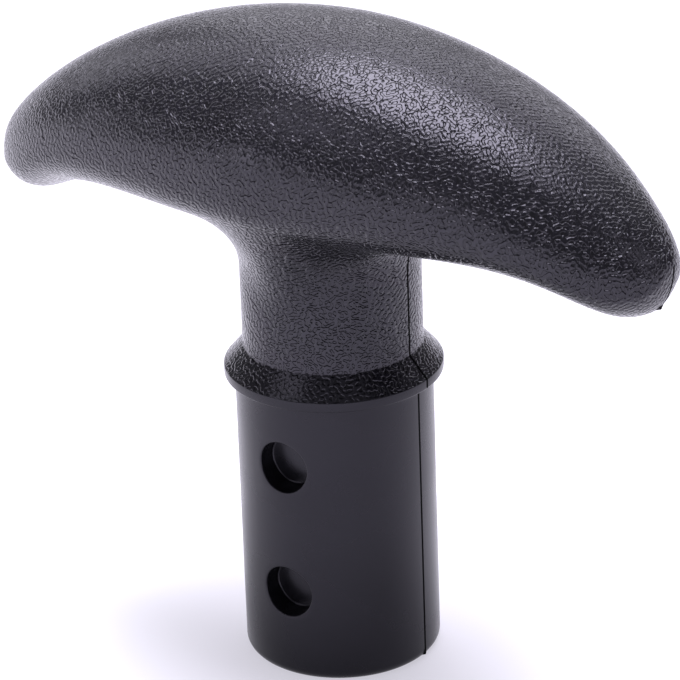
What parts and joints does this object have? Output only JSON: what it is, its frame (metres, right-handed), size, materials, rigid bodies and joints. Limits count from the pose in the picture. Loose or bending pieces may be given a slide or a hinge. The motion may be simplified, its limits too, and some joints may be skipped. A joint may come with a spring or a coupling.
{
  "type": "paddle t-grip",
  "caption": "Drooping palm T-grip in black grained plastic with a round neck, a stop collar and a plug that slides into the top end of a paddle shaft.",
  "frame": {"origin": "centre of the plug's flat end, where the grip stands", "axes": "+Z along the shaft towards the palm bar, +X along the palm bar, -Y towards the front pair of recesses; the mould's parting plane is XZ"},
  "size_m": [0.1088, 0.0432, 0.0947],
  "materials": {
    "t_grip": "moulded black plastic: leather-like grain on the bar, neck and collar cone, satin on the collar band and plug"
  },
  "bodies": {
    "root": {"t_grip": "t_grip"}
  },
  "joints": []
}
